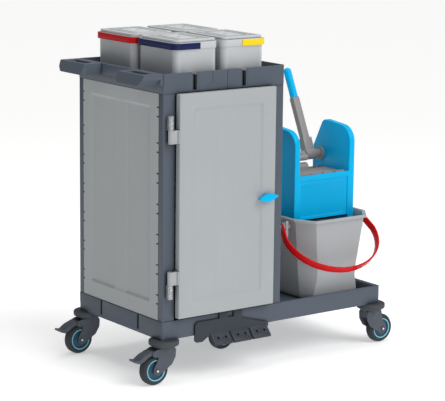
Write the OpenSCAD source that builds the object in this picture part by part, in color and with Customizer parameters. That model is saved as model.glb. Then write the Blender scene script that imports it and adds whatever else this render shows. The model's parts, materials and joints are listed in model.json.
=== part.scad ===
// Housekeeping cart: a closed cabinet under a tray with four lidded tubs, beside a deck
// with a bucket and its wringer, on five swivel casters.
// Millimetres. X runs along the long side towards the bucket, -Y is the door side, Z is up.
// Every part is drawn from the base's front left corner, and in_frame() centres the cart.

/* [Base] */
// Length of the base
base_l = 924; // [880:4:1040]
// Width of the base
base_w = 504; // [480:4:600]
// Height of the base's underside above the floor
base_z = 147; // [143:1:170]
// Height of the base's skirt
base_h = 61; // [50:1:80]
// Corner radius of the base in plan
base_r = 10; // [4:1:16]
// Width of the rim along the front, the back and the left end
rim_w = 12; // [10:1:16]
// Width of the rim at the bucket's end
end_rim_w = 20; // [12:1:26]
// Depth of the deck below the rim
deck_drop = 30; // [20:1:36]
// Thickness of moulded floors
floor_t = 5; // [4:0.5:7]
// Thickness of the skirt
skirt_t = 6; // [4:0.5:8]

/* [Cabinet] */
// Length of the cabinet along X
cab_l = 482; // [440:2:540]
// Height of the posts
post_h = 742; // [640:2:800]
// Post section along X
post_x = 47; // [36:1:56]
// Post section along Y
post_y = 26; // [20:1:34]
// How far the posts stand in from the base's edges
post_in = 2; // [1:0.5:6]
// Wall of the hollow posts
post_t = 4; // [3:0.5:6]
// Thickness of the side and back panels
panel_t = 4; // [3:0.5:6]
// Depth of the pressed fields in the panels and the door
field_d = 1.5; // [1:0.5:2]
// Height of the shelf's top above the floor
shelf_z = 560; // [400:5:700]
// Thickness of the shelf
shelf_t = 10; // [6:1:18]

/* [Door] */
// Thickness of the door
door_t = 23; // [18:1:26]
// Wall of the door's tray-shaped shell
door_wall = 3; // [2:0.5:4]
// Gap between the door and the posts behind it
door_gap = 4; // [3:0.5:6]
// Distance of the hinge axis in front of the posts
hinge_out = 14; // [13:0.5:16]
// Distance of the hinge axis from the cabinet's left edge
hinge_in = 20; // [18:0.5:24]
// Radius of the hinge barrels
barrel_r = 9; // [8:0.5:10]
// Radius of the hinge pins
hinge_pin_r = 4; // [3:0.5:5]
// Height of a hinge plate on the door
plate_h = 43; // [34:1:50]
// Length of a hinge barrel on the post
barrel_h = 46; // [36:1:56]
// Length of the latch lever
latch_l = 76; // [60:1:90]
// Radius of the latch spindle
spindle_r = 6; // [5:0.5:8]

/* [Top tray] */
// Height of the tray
tray_h = 63; // [50:1:80]
// Wall of the tray
tray_t = 4; // [3:0.5:6]
// Bore radius of the pole clips
clip_r = 11.5; // [10:0.5:13]
// Wall of the pole clips
clip_t = 3.5; // [3:0.5:4.5]
// Width of a pole clip's mouth
clip_mouth = 10; // [8:1:14]
// Height of the pole clips
clip_h = 48; // [36:1:56]

/* [Push handles] */
// Reach of the handles beyond the tray
handle_reach = 85; // [70:1:100]
// Length of each handle along Y
handle_l = 154; // [130:1:180]
// Depth of the handles
handle_h = 36; // [28:1:44]
// Width of the grip slot
slot_w = 34; // [30:1:40]
// Width of the outer grip bar
bar_w = 26; // [22:1:32]

/* [Casters] */
// Radius of the wheels
wheel_r = 50; // [46:1:52]
// Width of the tyres
tyre_w = 34; // [28:1:36]
// Radius of the hub inside the tyre
hub_r = 35; // [30:1:38]
// Distance of the axle behind the swivel axis
trail = 40; // [34:1:44]
// Distance of the swivel axes from the base's edges
caster_in = 22; // [20:1:30]
// Radius of the corner bumpers
bumper_r = 50; // [44:1:56]
// Thickness of the fork's cheeks
cheek_t = 4; // [3:0.5:5]
// Height of the fork's crown
crown_h = 14; // [12:1:16]
// Radius of the swivel stem
stem_r = 6; // [5:0.5:7]
// Radius of the axle
axle_r = 5; // [4:0.5:6]
// Radius of the brake pedal's pin
pedal_pin_r = 3; // [2.5:0.5:3.5]
// Reach of the brake pedal from the swivel axis
pedal_reach = 122; // [110:1:130]

/* [Tubs] */
// Length of a tub along X, over its collar
tub_x = 172; // [150:1:190]
// Length of a tub along Y, over its collar
tub_y = 220; // [190:1:222]
// Height of a tub
tub_h = 147; // [110:1:180]
// Wall of a tub
tub_t = 2.5; // [2:0.5:4]
// Corner radius of a tub
tub_r = 24; // [16:1:30]
// Height of the tub's collar
collar_h = 22; // [18:1:26]
// Gap between neighbouring tubs along X
tub_gap_x = 16; // [6:1:20]
// Gap between neighbouring tubs along Y, with two bails in it
tub_gap_y = 12; // [8:0.5:16]
// Distance of the front left tub from the tray's left edge
tub_left = 70; // [30:1:90]
// Distance of the front tubs from the tray's front edge
tub_front = 36; // [35:1:44]
// How far the rear tubs stand to the left of the front ones
tub_stagger = 8; // [0:1:20]
// Thickness of the tub's lid
lid_t = 8; // [6:1:12]
// Thickness of the tub's bail
tub_bail_t = 3; // [2.5:0.5:3]
// Height of the tub's bail
tub_bail_h = 20; // [16:1:21]

/* [Bucket] */
// Length of the bucket's rim along X
bucket_x = 350; // [320:2:360]
// Length of the bucket's rim along Y
bucket_y = 380; // [350:2:420]
// Height of the bucket
bucket_h = 285; // [240:1:320]
// Wall of the bucket
bucket_t = 3; // [2.5:0.5:4]
// Width of the rim's lip
lip_w = 8; // [6:1:10]
// How much narrower the bucket is at the bottom, on each X side
draft_x = 34; // [30:1:44]
// How much narrower the bucket is at the bottom, on each Y side
draft_y = 22; // [16:1:30]
// Distance of the bucket's centre from the base's bucket end
bucket_from_end = 160; // [150:1:180]
// Distance of the rim's front from the base's front
bucket_front = 8; // [0:1:20]
// Distance of the bail's axis behind the rim's front
bail_back = 124; // [110:1:135]
// Reach of the bucket's bail
bail_reach = 211; // [190:1:215]
// Angle of the resting bail below the horizontal
bail_angle = 42.5; // [38:0.5:50]

/* [Wringer] */
// Width of the wringer over its two ears
wringer_x = 264; // [240:2:270]
// Depth of the wringer
wringer_y = 205; // [190:1:215]
// Width of the flange around an ear
flange_w = 22; // [16:1:26]
// Wall of the wringer
wringer_t = 5; // [4:0.5:6]
// Distance of the wringer behind the front of the bucket's rim
wringer_back = 114; // [100:1:120]
// Depth of the wringer's foot below the bucket's rim
wringer_drop = 39; // [20:1:60]
// Height of the wringer's front wall
front_wall_h = 178; // [160:1:190]
// Height of the ears
ear_h = 344; // [310:1:370]
// Height of the lever's axis above the wringer's foot
shaft_h = 220; // [212:1:230]
// Distance of the lever's axis behind the wringer's front
shaft_back = 162; // [150:1:165]
// Radius of the shaft between the ears
shaft_r = 14; // [12:1:16]
// Radius of the shaft's journals in the ears
journal_r = 9; // [8:0.5:10]
// Length of the lever from its axis to the grip's end
lever_l = 322; // [280:1:360]
// Angle of the resting lever from the vertical
lever_angle = 25; // [15:1:30]
// Radius of the crank that pushes the press plate
crank_r = 50; // [44:1:54]
// Travel of the press plate
press_travel = 47; // [40:1:50]

/* [Mop rest] */
// Length of the mop rest along X
rest_l = 300; // [240:5:340]
// Distance of the mop rest from the base's left end
rest_left = 126; // [100:1:150]
// Thickness of the mop rest
rest_t = 7; // [5:0.5:9]

/* [Fits] */
// Radial clearance of pins and shafts that turn
run_gap = 0.06; // [0.04:0.01:0.09]
// Clearance between pieces that move past each other
air_gap = 0.4; // [0.3:0.05:0.6]
// Clearance of screws and stems in their holes
hole_gap = 0.1; // [0.05:0.05:0.2]

/* [Hidden] */
$fn = 64;
FRAME_GREY = "#60666f";
PANEL_GREY = "#a9adb0";
TUB_GREY = "#a3a5a8";
CYAN = "#17aee0";
eps = 0.01;

// Levels above the floor
base_top = base_z + base_h;
deck_z = base_top - deck_drop;
tray_z = base_top + post_h;
tray_top = tray_z + tray_h;
tray_floor_z = tray_z + floor_t;

// Door and latch
door_y = post_in - door_gap - door_t;
door_x0 = post_in + post_x - 1;
door_x1 = cab_l - post_x - 3;
door_z0 = base_top + 10;
door_z1 = tray_z - 2;
hinge_x = post_in + hinge_in;
hinge_y = post_in - hinge_out;
hinge_end = 114;
upper_plate_z = door_z1 - hinge_end - plate_h;
lower_plate_z = door_z0 + hinge_end;
latch_x = door_x1 - 42;
latch_z = (door_z0 + door_z1) / 2;
latch_out = 14;

// Casters: where each stands, and which way it trails
caster_at = [[caster_in, caster_in], [caster_in, base_w - caster_in],
    [base_l - caster_in, caster_in], [base_l - caster_in, base_w - caster_in], [base_l / 2, base_w / 2]];
trails_right = [false, false, true, true, false];
cheek_in = tyre_w / 2 + 2.5;
cheek_out = cheek_in + cheek_t;
bumper_t = 24;
crown_top = base_z - bumper_t - 2;
crown_z = crown_top - crown_h;
stem_head_h = 5;
pedal_x = -trail - 10;
pedal_z = crown_top - 15;

// Tubs: the front left, front right, rear left and rear right one
tub_at = [for (j = [0, 1], i = [0, 1])
    [tub_left + i * (tub_x + tub_gap_x) - j * tub_stagger, tub_front + j * (tub_y + tub_gap_y)]];
tub_z = tray_floor_z + air_gap;
collar_z = tub_z + tub_h - collar_h;
collar_out = 3;
lid_z = tub_z + tub_h + air_gap;
bail_mid_z = collar_z + collar_h / 2 - 1;

// Bucket and its bail
bucket_cx = base_l - bucket_from_end;
bucket_cy = bucket_front + bucket_y / 2;
bucket_z = deck_z + air_gap;
bucket_top = bucket_z + bucket_h;
bail_y = bucket_front + bail_back;
bail_z = bucket_top - 29;
bail_half = bucket_x / 2 + 20;
pivot_half = bucket_x / 2 + 5;
bail_t = 6;
bail_w = 24;
bail_pin_r = 7;

// Wringer
wringer_cx = bucket_cx;
wringer_y0 = bucket_front + wringer_back;
wringer_z = bucket_top - wringer_drop;
front_wall_z = wringer_z + front_wall_h;
ear_top_z = wringer_z + ear_h;
shaft_z = wringer_z + shaft_h;
foot_in = 35;
front_wall_t = wringer_t + 4;
ear_x = wringer_x / 2 - flange_w;
shaft_y = wringer_y0 + shaft_back;
lever_x = wringer_cx + 57;
crank_x = wringer_cx - 25;
crank_w = 60;
roller_r = 11;
grip_l = 112;
grip_r = 14;
grip_core_r = grip_r - 4;
press_top = shaft_z - roller_r - 6;

// The cart's reach along X and Y, for the frame's centre
x_low = caster_in - pedal_reach;
x_high = base_l - caster_in + trail + wheel_r;
y_low = door_y - latch_out - 4;
y_high = base_w - caster_in + bumper_r;

module in_frame() {
    translate([-(x_low + x_high) / 2, -(y_low + y_high) / 2, 0]) children();
}

// A box with rounded upright edges, from its lowest corner
module rbox(size, r) {
    translate([r, 0, 0]) cube([size[0] - 2 * r, size[1], size[2]]);
    translate([0, r, 0]) cube([size[0], size[1] - 2 * r, size[2]]);
    for (x = [r, size[0] - r], y = [r, size[1] - r]) translate([x, y, 0]) cylinder(r = r, h = size[2]);
}

// The same box with its walls kept and its inside open at the top
module open_box(size, r, wall, bottom) {
    difference() {
        rbox(size, r);
        translate([wall, wall, bottom])
            rbox([size[0] - 2 * wall, size[1] - 2 * wall, size[2]], max(r - wall, 1));
    }
}

// A polygon in the XZ plane, made thick from y0 to y1
module y_plate(y0, y1, outline) {
    translate([0, y1, 0]) rotate([90, 0, 0]) linear_extrude(y1 - y0) polygon(outline);
}

// A polygon in the YZ plane, made thick from x0 to x1
module x_plate(x0, x1, outline) {
    translate([x0, 0, 0]) rotate([90, 0, 90]) linear_extrude(x1 - x0) polygon(outline);
}

// A cylinder along Y from y0 to y1, and one along X
module y_rod(r, y0, y1) {
    translate([0, y0, 0]) rotate([-90, 0, 0]) cylinder(r = r, h = y1 - y0);
}
module x_rod(r, x0, x1) {
    translate([x0, 0, 0]) rotate([0, 90, 0]) cylinder(r = r, h = x1 - x0);
}

// An outline whose corner i is rounded with radius r[i]
function round_corner(a, b, c, r, n) =
    let (u = (a - b) / norm(a - b), v = (c - b) / norm(c - b), half = acos(u * v) / 2,
        m = (u + v) / norm(u + v), o = b + m * r / sin(half),
        s = b + u * r / tan(half) - o, e = b + v * r / tan(half) - o,
        a0 = atan2(s[1], s[0]), turn = (atan2(e[1], e[0]) - a0 + 540) % 360 - 180)
    [for (k = [0:n]) o + r * [cos(a0 + turn * k / n), sin(a0 + turn * k / n)]];
function rounded(p, r, n = 6) =
    [for (i = [0:len(p) - 1])
        each (r[i] == 0 ? [p[i]] :
            round_corner(p[(i + len(p) - 1) % len(p)], p[i], p[(i + 1) % len(p)], r[i], n))];

module base_deck() {
    color(FRAME_GREY) in_frame() difference() {
        union() {
            difference() {
                translate([0, 0, base_z]) rbox([base_l, base_w, base_h], base_r);
                translate([rim_w, rim_w, deck_z])
                    rbox([base_l - rim_w - end_rim_w, base_w - 2 * rim_w, base_h], 6);
                translate([skirt_t, skirt_t, base_z - 1])
                    rbox([base_l - 2 * skirt_t, base_w - 2 * skirt_t, deck_z - floor_t - base_z + 1], 4);
            }
            post_seats();
            translate([cab_l - panel_t - 4, rim_w - 1, deck_z - 1])
                cube([panel_t + 4, base_w - 2 * rim_w + 2, deck_drop + 1]);
            for (x = [base_l * 0.25, base_l * 0.75])
                translate([x - 2, skirt_t - 1, base_z + 6])
                    cube([4, base_w - 2 * skirt_t + 2, deck_z - base_z - 7]);
            for (p = caster_at) translate([p[0], p[1], base_z]) cylinder(r = 18, h = deck_z - base_z - 1);
        }
        for (p = caster_at) translate([p[0], p[1], base_z - 1])
            cylinder(r = stem_r + hole_gap, h = deck_z - floor_t - base_z + 1);
        for (y = [base_w * 0.28, base_w * 0.72]) translate([-1, y - 4, base_z + 10]) cube([4, 8, base_h]);
        for (x = screw_xs(), y = screw_ys()) translate([x, y, base_z - 1])
            cylinder(r = screw_r + hole_gap, h = base_h + 2);
        for (x = screw_xs(), y = screw_ys()) translate([x, y, base_z - 1])
            cylinder(r = screw_head_r + hole_gap, h = deck_z - floor_t - base_z + 1);
    }
}

// Posts: their left edges, their front edges and the screws that hold them
screw_r = 2.5;
screw_head_r = 5;
screw_in = 12;
post_end = 10;
function post_xs() = [post_in, cab_l - post_x];
function post_ys() = [post_in, base_w - post_in - post_y];
function screw_xs() = [post_in + post_x - screw_in, cab_l - post_x + screw_in];
function screw_ys() = [for (y = post_ys()) y + post_y / 2];

module post_seats() {
    for (x = post_xs(), y = post_ys())
        translate([x, y, deck_z - floor_t]) cube([post_x, post_y, deck_drop + floor_t]);
}

module post(i, j) {
    x = post_xs()[i];
    y = post_ys()[j];
    color(FRAME_GREY) in_frame() difference() {
        translate([x, y, base_top]) rbox([post_x, post_y, post_h], 3);
        translate([x + post_t, y + post_t, base_top + post_end])
            cube([post_x - 2 * post_t, post_y - 2 * post_t, post_h - 2 * post_end]);
        for (z = [base_top - 1, tray_z - post_end - 1])
            translate([screw_xs()[i], screw_ys()[j], z]) cylinder(r = screw_r + hole_gap, h = post_end + 2);
    }
}

module frame_screws() {
    head_h = 3;
    color("#8c9094") in_frame() for (x = screw_xs(), y = screw_ys()) translate([x, y, 0]) {
        translate([0, 0, deck_z - floor_t - head_h]) {
            cylinder(r = screw_head_r, h = head_h);
            cylinder(r = screw_r, h = head_h + floor_t + deck_drop + 9);
        }
        translate([0, 0, tray_floor_z]) cylinder(r = screw_head_r, h = head_h);
        translate([0, 0, tray_z - 9]) cylinder(r = screw_r, h = floor_t + 9 + eps);
    }
}

// Pole clips sit in gaps of the tray's front wall
clip_out = clip_r + clip_t;
clip_y = clip_out + 1;
clip_x = [post_in + 120, cab_l - 165];

module top_tray() {
    recess_x = clip_x[0] + clip_out + 8;
    color(FRAME_GREY) in_frame() difference() {
        union() {
            translate([0, 0, tray_z]) open_box([cab_l + 2, base_w, tray_h], 8, tray_t, floor_t);
            translate([clip_x[1] - clip_out - 50, 0, tray_z]) cube([48, tray_t + 5, tray_h]);
        }
        for (x = clip_x) translate([x - clip_out - 1, -1, tray_floor_z])
            cube([2 * clip_out + 2, tray_t + 6, tray_h]);
        y_plate(-1, 1.5, rounded([[recess_x, tray_top + 1], [recess_x, tray_z + 14],
            [recess_x + 48, tray_z + 14], [recess_x + 48, tray_top + 1]], [0, 20, 20, 0]));
        for (x = screw_xs(), y = screw_ys()) translate([x, y, tray_z - 1])
            cylinder(r = screw_r + hole_gap, h = floor_t + 2);
    }
}

module pole_clips() {
    color("#4f555d") in_frame() for (x = clip_x) translate([x, clip_y, tray_floor_z]) difference() {
        cylinder(r = clip_out, h = clip_h);
        translate([0, 0, -1]) cylinder(r = clip_r, h = clip_h + 2);
        translate([-clip_mouth / 2, -clip_out - 1, -1]) cube([clip_mouth, clip_out, clip_h + 2]);
    }
}

module push_handles() {
    handle_z = tray_top - handle_h;
    rail_t = 8;
    color(FRAME_GREY) in_frame() {
        translate([-rail_t, post_in, handle_z]) cube([rail_t, base_w - 2 * post_in, handle_h]);
        for (y = [post_in, base_w - post_in - handle_l])
            translate([-handle_reach, y, handle_z]) difference() {
                union() {
                    rbox([handle_reach - rail_t, handle_l, handle_h], 18);
                    translate([handle_reach - rail_t - 22, 0, 0]) cube([26, handle_l, handle_h]);
                }
                translate([bar_w, bar_w, -1]) rbox([slot_w, handle_l - 2 * bar_w, handle_h + 2], 8);
            }
    }
}

// A flat panel in the XZ plane with two pressed fields on its -Y face
module pressed_panel(w, h, t, field_r) {
    margin_x = w * 0.11;
    margin_z = 46;
    gap = 18;
    field_w = (w - 2 * margin_x - gap) / 2;
    difference() {
        cube([w, t, h]);
        for (i = [0, 1]) translate([margin_x + i * (field_w + gap), field_d, margin_z])
            rotate([90, 0, 0]) rbox([field_w, h - 2 * margin_z, field_d + 1], field_r);
    }
}

// The side panels hook into the posts with pairs of lugs, seen as notches along the upright edges
module side_panel() {
    w = base_w - 2 * (post_in + post_y);
    h = post_h - 4;
    notch_w = 6;
    notch_h = 11;
    first = 56;
    pitch = (h - first - 60) / 7;
    difference() {
        pressed_panel(w, h, panel_t, 12);
        for (x = [-1, w - notch_w + 1], i = [0:7], dz = [0, 30])
            translate([x, -1, first + i * pitch + dz - 15]) cube([notch_w, panel_t + 2, notch_h]);
    }
}

module side_panel_left() {
    color(PANEL_GREY) in_frame() translate([post_in, base_w - post_in - post_y, base_top + 2])
        rotate([0, 0, -90]) side_panel();
}

module side_panel_right() {
    color(PANEL_GREY) in_frame() translate([cab_l, post_in + post_y, base_top + 2])
        rotate([0, 0, 90]) side_panel();
}

module back_panel() {
    w = cab_l - 2 * post_x - post_in;
    color(PANEL_GREY) in_frame() translate([post_in + post_x + w, base_w - post_in, base_top + 2])
        rotate([0, 0, 180]) pressed_panel(w, post_h - 4, panel_t, 12);
}

module cabinet_shelf() {
    notch = post_x + air_gap;
    x0 = post_in + panel_t + air_gap;
    x1 = cab_l - panel_t - air_gap;
    y0 = post_in + 6;
    y1 = base_w - post_in - panel_t - air_gap;
    color(PANEL_GREY) in_frame() translate([0, 0, shelf_z - shelf_t]) difference() {
        translate([x0, y0, 0]) cube([x1 - x0, y1 - y0, shelf_t]);
        for (x = [-1, cab_l - notch], y = [-1, base_w - post_in - post_y - air_gap])
            translate([x, y, -2]) cube([notch + post_in + 1, post_y + post_in + 1 + air_gap, shelf_t + 4]);
    }
}

module mop_rest() {
    plate_z0 = base_z - 10;
    plate_z1 = base_top - 16;
    comb_x = rest_left + 62;
    tooth = (rest_l - 62) / 3;
    lean = 30;
    drop = 30;
    plate = rounded([[rest_left, plate_z0 - 14], [rest_left + 30, plate_z0 - 14], [rest_left + 52, plate_z0],
        [rest_left + rest_l, plate_z0], [rest_left + rest_l, plate_z0 + 14],
        [rest_left + 150, plate_z1], [rest_left, plate_z1]], [10, 10, 6, 4, 6, 60, 14]);
    color("#5b616b") in_frame() difference() {
        union() {
            y_plate(-rest_t - air_gap, -air_gap, plate);
            for (x = [rest_left + 98, rest_left + 156]) {
                translate([x, -rest_t - air_gap, plate_z1 - 10]) cube([34, rest_t, 30]);
                translate([x, -rest_t - air_gap, base_top + air_gap]) cube([34, rest_t + 22, 4]);
            }
            for (i = [0:2]) x_plate(comb_x + i * tooth, comb_x + (i + 1) * tooth - 8,
                [[-1, plate_z0], [-rest_t - air_gap, plate_z0 + 8], [-lean - 4, plate_z0 - drop + 8],
                    [-lean - 4, plate_z0 - drop + 2], [-lean + 4, plate_z0 - drop]]);
        }
        for (i = [0:2], dx = [0.3, 0.68]) translate([comb_x + (i + dx) * tooth, 0, plate_z0 - 6])
            y_rod(4, -lean - 20, 8);
    }
}

module hinge_brackets() {
    upper_z = upper_plate_z + plate_h + air_gap;
    lower_z = lower_plate_z - air_gap - barrel_h;
    pin_h = barrel_h + plate_h - 2;
    color("#c9ccce") in_frame() translate([hinge_x, hinge_y, 0]) {
        for (z = [upper_z, lower_z]) translate([0, 0, z]) {
            cylinder(r = barrel_r, h = barrel_h);
            translate([-7, 0, 0]) cube([14, hinge_out, barrel_h]);
        }
        for (z = [upper_z + barrel_h - pin_h, lower_z])
            translate([0, 0, z]) cylinder(r = hinge_pin_r, h = pin_h);
    }
}

module door_panel() {
    w = door_x1 - door_x0;
    h = door_z1 - door_z0;
    color(PANEL_GREY) in_frame() translate([door_x0, door_y, door_z0]) difference() {
        pressed_panel(w, h, door_t, 14);
        translate([door_wall, door_wall + field_d, door_wall])
            cube([w - 2 * door_wall, door_t, h - 2 * door_wall]);
        translate([latch_x - door_x0, 0, latch_z - door_z0]) y_rod(spindle_r + run_gap, -1, door_t + 1);
    }
}

// Each plate lies on the door's left edge and reaches to an eye around the hinge pin
module door_hinge_plates() {
    eye_y = hinge_y - barrel_r;
    color("#b9bcbf") in_frame() for (z = [upper_plate_z, lower_plate_z]) difference() {
        union() {
            translate([hinge_x, hinge_y, z]) cylinder(r = barrel_r, h = plate_h);
            translate([hinge_x, eye_y, z]) cube([door_x0 - hinge_x, 8, plate_h]);
            translate([door_x0 - 5, door_y + 1, z]) cube([5, door_t - 2, plate_h]);
        }
        translate([hinge_x, hinge_y, z - 1]) cylinder(r = hinge_pin_r + run_gap, h = plate_h + 2);
    }
}

module latch_lever() {
    tail = 32;
    tip = latch_l - tail;
    face_y = door_y - air_gap;
    wing = rounded([[-tail, -4], [-8, -13], [14, -11], [tip, 1], [tip - 2, 6], [12, 14], [-8, 12], [-tail, 1]],
        [2, 8, 10, 2, 2, 8, 10, 2]);
    color(CYAN) in_frame() translate([latch_x, 0, latch_z]) {
        y_rod(12, face_y - 8, face_y);
        y_plate(face_y - latch_out - 4 + air_gap, face_y - 6, wing);
        y_rod(spindle_r, face_y - 1, door_y + door_wall + field_d + 6);
        y_rod(10, door_y + door_wall + field_d + air_gap, door_y + door_wall + field_d + 6);
    }
}

// Casters are drawn about their swivel axis, trailing towards -X
module at_caster(i) {
    in_frame() translate([caster_at[i][0], caster_at[i][1], 0]) rotate([0, 0, trails_right[i] ? 180 : 0])
        children();
}

module caster_stems() {
    color("#9a9da0") for (i = [0:4]) at_caster(i) {
        translate([0, 0, crown_z - air_gap - stem_head_h]) cylinder(r = stem_r + 4, h = stem_head_h);
        translate([0, 0, crown_z - air_gap - 1]) cylinder(r = stem_r, h = deck_z - floor_t - crown_z);
        if (i == 4) translate([0, 0, crown_top + air_gap])
            cylinder(r = stem_r + 8, h = base_z - crown_top - air_gap);
    }
}

module corner_bumpers() {
    e = 6;
    z0 = crown_top + air_gap;
    h = base_z - z0;
    rim = rounded([[stem_r + hole_gap, 0], [bumper_r - 15, 0], [bumper_r, 9], [bumper_r, h],
        [stem_r + hole_gap, h]], [0, e, e, e, 0]);
    color("#4b4f55") for (i = [0:3]) at_caster(i) translate([0, 0, z0]) rotate_extrude() polygon(rim);
}

module fork(i, braked) {
    axle_z = wheel_r;
    cheek = rounded([[27, crown_top], [33, crown_top - 8], [31, crown_top - 33], [16, crown_top - 57],
        [-trail + 14, axle_z - 12],
        [-trail, axle_z - 15], [-trail - 14, axle_z - 8], [-trail - 12, axle_z + 10],
        [-trail + 2, crown_top - 37], [-30, crown_top]], [3, 6, 12, 14, 8, 6, 8, 8, 10, 3]);
    ear = rounded([[-24, crown_top], [-24, crown_top - 25], [pedal_x - 2, pedal_z - 9],
        [pedal_x - 10, pedal_z], [pedal_x - 6, pedal_z + 8], [pedal_x + 10, crown_top]],
        [0, 0, 5, 5, 5, 4]);
    color("#565b66") at_caster(i) difference() {
        union() {
            translate([0, 0, crown_z]) cylinder(r = 27, h = crown_h);
            for (y = [-cheek_out, cheek_in]) {
                y_plate(y, y + cheek_t, cheek);
                if (braked) y_plate(y, y + cheek_t, ear);
            }
            translate([14, -cheek_out + 0.5, crown_z - 12]) cube([14, 2 * cheek_out - 1, crown_h + 10]);
        }
        translate([0, 0, crown_z - 1]) cylinder(r = stem_r + run_gap, h = crown_h + 2);
        translate([-trail, 0, axle_z]) y_rod(axle_r + hole_gap, -cheek_out - 1, cheek_out + 1);
        if (braked) translate([pedal_x, 0, pedal_z])
            y_rod(pedal_pin_r + run_gap, -cheek_out - 1, cheek_out + 1);
    }
}

module axle(i) {
    color("#b5b8ba") at_caster(i) translate([-trail, 0, wheel_r]) {
        y_rod(axle_r, -cheek_out - 1, cheek_out + 1);
        for (y = [-cheek_out - 2, cheek_out]) y_rod(axle_r + 3, y, y + 2);
    }
}

module hub(i) {
    w = tyre_w / 2 - 2;
    boss = cheek_in - air_gap;
    half = [[axle_r + run_gap, -boss], [axle_r + 5, -boss], [axle_r + 5, -w + 6], [hub_r - 6, -w + 6],
        [hub_r - 4, -w], [hub_r, -w], [hub_r, w], [hub_r - 4, w], [hub_r - 6, w - 6], [axle_r + 5, w - 6],
        [axle_r + 5, boss], [axle_r + run_gap, boss]];
    color("#4a6478") at_caster(i) translate([-trail, 0, wheel_r]) rotate([90, 0, 0])
        rotate_extrude() polygon(half);
}

module tyre(i) {
    w = tyre_w / 2;
    edge = min(6, 0.4 * (wheel_r - hub_r));
    section = rounded([[hub_r + 0.05, -w + 1], [wheel_r - edge, -w], [wheel_r, -w + 9], [wheel_r, w - 9],
        [wheel_r - edge, w], [hub_r + 0.05, w - 1]], [0, edge * 2 / 3, edge, edge, edge * 2 / 3, 0], 4);
    color("#3b3e42") at_caster(i) translate([-trail, 0, wheel_r]) rotate([90, 0, 0])
        rotate_extrude() polygon(section);
}

module brake_pedal(i) {
    half_w = cheek_in - 0.6;
    function under(a) = [-trail, wheel_r] + (wheel_r + 4 + (a - 90) / 8) * [cos(a), sin(a)];
    top = rounded([[-37, crown_top - 5], [-60, crown_top - 5], [-88, crown_top - 16], [-106, crown_top - 29],
        [-pedal_reach, crown_top - 26], [-pedal_reach, crown_top - 33], [-103, crown_top - 40]],
        [2, 18, 24, 8, 1, 1, 6]);
    color("#4f545e") at_caster(i) {
        y_plate(-half_w, half_w, concat(top, [for (a = [140:-10:90]) under(a)]));
        translate([pedal_x, 0, pedal_z]) y_rod(pedal_pin_r, -cheek_out - 1, cheek_out + 1);
    }
}

// Tubs are drawn from their lowest corner; the right hand ones are turned so that their bails face +X
module at_tub(i) {
    turned = i % 2 == 1;
    in_frame() translate([tub_at[i][0] + (turned ? tub_x : 0), tub_at[i][1] + (turned ? tub_y : 0), 0])
        rotate([0, 0, turned ? 180 : 0]) children();
}

bail_pin = 4;
bail_end_gap = 2.5;
lid_in = 5;

module tub(i) {
    inner = collar_out + tub_t;
    color(TUB_GREY) at_tub(i) difference() {
        union() {
            translate([collar_out, collar_out, tub_z])
                rbox([tub_x - 2 * collar_out, tub_y - 2 * collar_out, tub_h], tub_r - collar_out);
            translate([0, 0, collar_z]) rbox([tub_x, tub_y, collar_h], tub_r);
            translate([tub_x / 2, 0, bail_mid_z])
                y_rod(bail_pin, -air_gap - tub_bail_t, tub_y + air_gap + tub_bail_t);
        }
        translate([inner, inner, tub_z + tub_t])
            rbox([tub_x - 2 * inner, tub_y - 2 * inner, tub_h], tub_r - inner);
    }
}

// A lid lies on the collar, with a skirt that locates it inside the tub's wall
module lid(i) {
    skirt_in = collar_out + tub_t + air_gap;
    skirt_h = 8;
    skirt_wall = 3;
    skirt_x = tub_x - 2 * skirt_in;
    skirt_y = tub_y - 2 * skirt_in;
    w = tub_x - 2 * lid_in;
    l = tub_y - 2 * lid_in;
    groove_w = 5;
    color(TUB_GREY) at_tub(i) difference() {
        union() {
            translate([lid_in, lid_in, lid_z]) rbox([w, l, lid_t], tub_r - lid_in);
            translate([skirt_in, skirt_in, lid_z - skirt_h]) difference() {
                rbox([skirt_x, skirt_y, skirt_h + 1], tub_r - skirt_in);
                translate([skirt_wall, skirt_wall, -1])
                    rbox([skirt_x - 2 * skirt_wall, skirt_y - 2 * skirt_wall, skirt_h + 1],
                        tub_r - skirt_in - skirt_wall);
            }
        }
        for (inset = [16, 40])
            translate([lid_in + inset, lid_in + inset, lid_z + lid_t - 2]) difference() {
                cube([w - 2 * inset, l - 2 * inset, 3]);
                translate([groove_w, groove_w, -1])
                    cube([w - 2 * (inset + groove_w), l - 2 * (inset + groove_w), 5]);
            }
        translate([tub_x / 2 - 7, tub_y / 2 - 7, lid_z + lid_t - 3]) cube([14, 14, 4]);
    }
}

// A flat U around half the collar, which turns up over the lid
module tub_bail(i) {
    z0 = bail_mid_z - tub_bail_h / 2;
    x0 = -bail_end_gap - tub_bail_t;
    y0 = -air_gap - tub_bail_t;
    l = tub_y - 2 * y0;
    w = tub_x / 2 - x0 + tub_bail_h / 2 + tub_r;
    color(["#2e3661", "#fbd22d", "#c8262a", "#3f8f4a"][i]) at_tub(i) difference() {
        translate([x0, y0, z0]) rbox([w, l, tub_bail_h], tub_r + tub_bail_t);
        translate([x0 + tub_bail_t, y0 + tub_bail_t, z0 - 1])
            rbox([w, l - 2 * tub_bail_t, tub_bail_h + 2], tub_r);
        translate([tub_x / 2 + tub_bail_h / 2, y0 - 1, z0 - 1]) cube([w, l + 2, tub_bail_h + 2]);
        translate([tub_x / 2, 0, bail_mid_z]) y_rod(bail_pin + run_gap, y0 - 1, y0 + l + 1);
    }
}

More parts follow.
